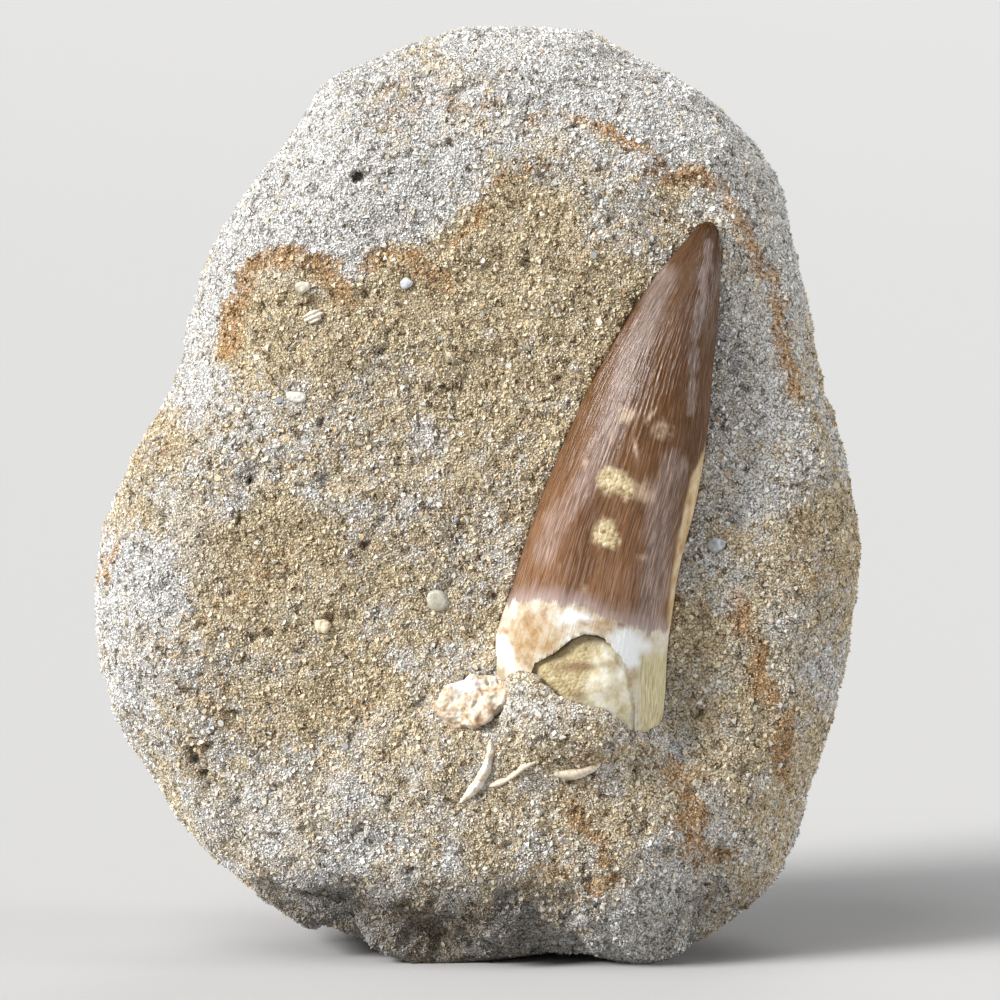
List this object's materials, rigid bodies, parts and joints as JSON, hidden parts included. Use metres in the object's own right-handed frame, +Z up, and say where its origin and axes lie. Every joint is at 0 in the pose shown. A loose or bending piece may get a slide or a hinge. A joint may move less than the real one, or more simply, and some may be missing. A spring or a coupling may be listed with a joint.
{
  "type": "fossil plesiosaur tooth in matrix",
  "caption": "Brown conical reptile tooth with a broken pale root, half bedded in an upright rounded block of sandy phosphate rock.",
  "frame": {"origin": "on the surface that the block stands on, under the middle of its bounding box", "axes": "+Z up, -Y out of the worked face with the tooth, +X to the right as that face is seen"},
  "size_m": [0.0764, 0.0424, 0.0922],
  "materials": {
    "sand_rock": "rough granular",
    "tooth_enamel": "glossy, finely ridged enamel over a pale matt root",
    "cavity_fill": "matt",
    "bone": "matt",
    "shell": "satin",
    "white_clast": "matt",
    "cream_clast": "matt",
    "grey_clast": "satin",
    "clear_clast": "glossy, cloudy"
  },
  "bodies": {
    "root": {"matrix_block": "sand_rock", "tooth": "tooth_enamel", "pulp_cavity_fill": "cavity_fill", "bone_fragment": "bone", "shell_sliver_long": "shell", "shell_sliver_thin": "shell", "shell_sliver_pale": "shell", "ridged_shell_chip": "shell", "white_chip": "white_clast", "long_white_chip": "white_clast", "cream_pebble": "cream_clast", "grey_pebble": "grey_clast", "blue_grey_pebble": "grey_clast", "clear_flake": "clear_clast"}
  },
  "joints": []
}
